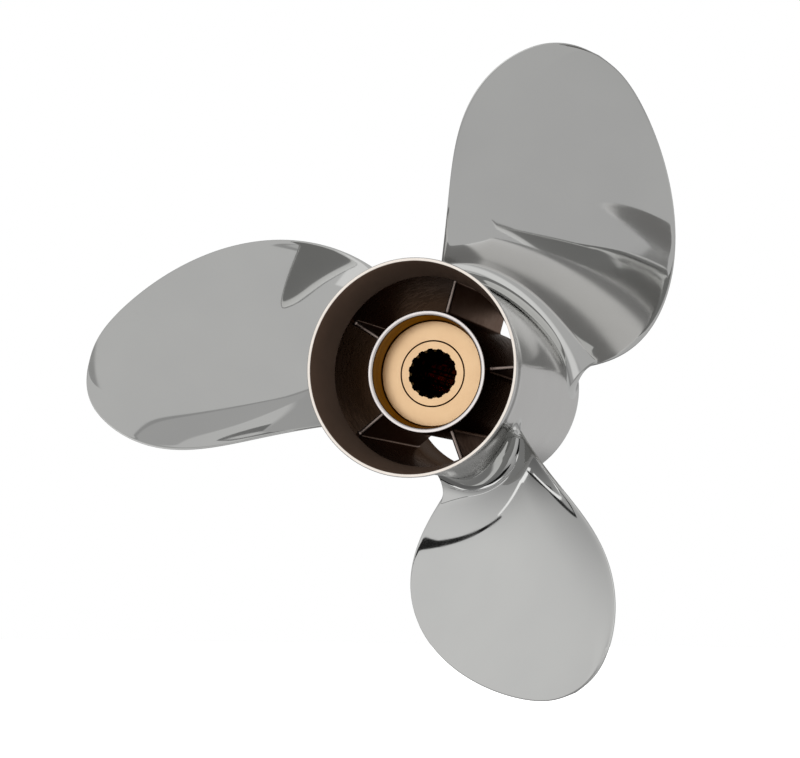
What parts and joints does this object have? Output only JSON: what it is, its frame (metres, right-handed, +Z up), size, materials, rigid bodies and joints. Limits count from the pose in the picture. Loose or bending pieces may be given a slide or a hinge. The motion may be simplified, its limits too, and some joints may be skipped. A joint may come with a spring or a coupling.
{
  "type": "boat propeller",
  "caption": "Polished steel boat propeller with raked, cupped blades on a hollow flared hub, radial ribs and a splined bushing.",
  "frame": {"origin": "on the shaft axis, in the plane of the open aft rim", "axes": "+Y forward along the shaft axis, +Z up, +X to starboard; the aft rim faces -Y"},
  "size_m": [0.3028, 0.1475, 0.3196],
  "materials": {
    "polished_steel": "mirror polished stainless steel",
    "tube_steel": "satin polished stainless steel",
    "cast_steel": "as-cast stainless steel, unpolished",
    "bushing_brass": "matt machined brass"
  },
  "bodies": {
    "root": {"outer_barrel": "polished_steel", "inner_tube": "tube_steel", "bushing_sleeve": "bushing_brass", "splined_sleeve": "bushing_brass", "rib_1": "cast_steel", "rib_2": "cast_steel", "rib_3": "cast_steel", "rib_4": "cast_steel", "rib_5": "cast_steel", "blade_1": "polished_steel", "blade_2": "polished_steel", "blade_3": "polished_steel"}
  },
  "joints": []
}
